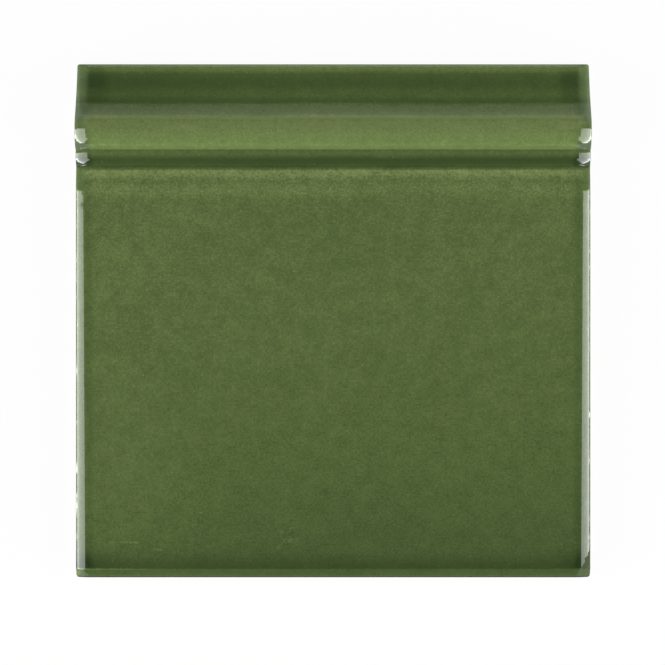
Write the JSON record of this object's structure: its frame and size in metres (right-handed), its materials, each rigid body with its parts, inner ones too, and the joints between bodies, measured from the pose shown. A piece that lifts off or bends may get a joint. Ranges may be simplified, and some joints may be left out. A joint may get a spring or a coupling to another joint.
{
  "type": "skirting tile",
  "caption": "Square ceramic skirting tile with a flat glazed panel, a small roll, a round bead and a cove rising to a thin top lip; grooved back for adhesive.",
  "frame": {"origin": "middle of the back face, on the plane the tile lies on", "axes": "X along the wall, +Y up the wall towards the thin lip, +Z out of the glazed face"},
  "size_m": [0.152, 0.152, 0.0155],
  "materials": {
    "glaze": "glossy mottled green glaze, thin and light on edges, dark where it pools"
  },
  "bodies": {
    "root": {"skirting_tile": "glaze"}
  },
  "joints": []
}
